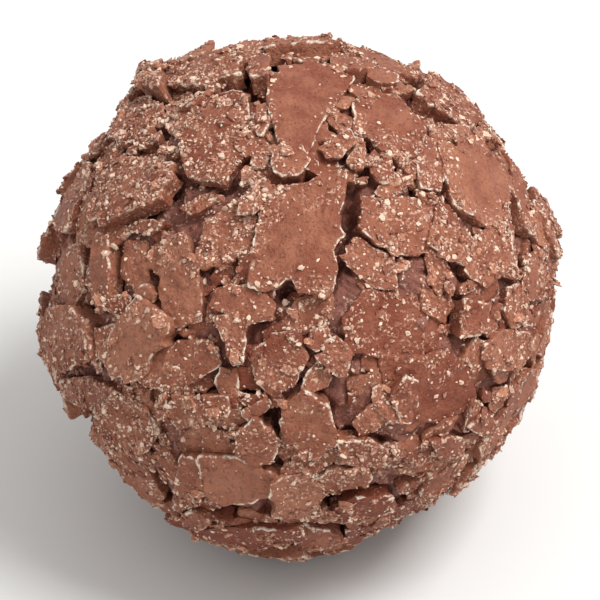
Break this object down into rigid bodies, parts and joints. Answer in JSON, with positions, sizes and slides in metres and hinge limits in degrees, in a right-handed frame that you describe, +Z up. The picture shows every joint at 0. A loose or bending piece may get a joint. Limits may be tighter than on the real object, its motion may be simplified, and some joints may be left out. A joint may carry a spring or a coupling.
{
  "type": "chocolate truffle",
  "caption": "Round milk chocolate truffle coated in pressed-on flat chocolate flakes, standing on a small flat spot.",
  "frame": {"origin": "middle of the bounding box's base, on the flat spot that the truffle stands on", "axes": "+Z up; the show face with the hand-placed flakes looks along -Y and 40 degrees above the horizon; +X is to its right"},
  "size_m": [0.0306, 0.0302, 0.0297],
  "materials": {
    "milk_chocolate": "tempered milk chocolate with a soft sheen, rough light brown where flakes are broken"
  },
  "bodies": {
    "root": {"truffle": "milk_chocolate"}
  },
  "joints": []
}
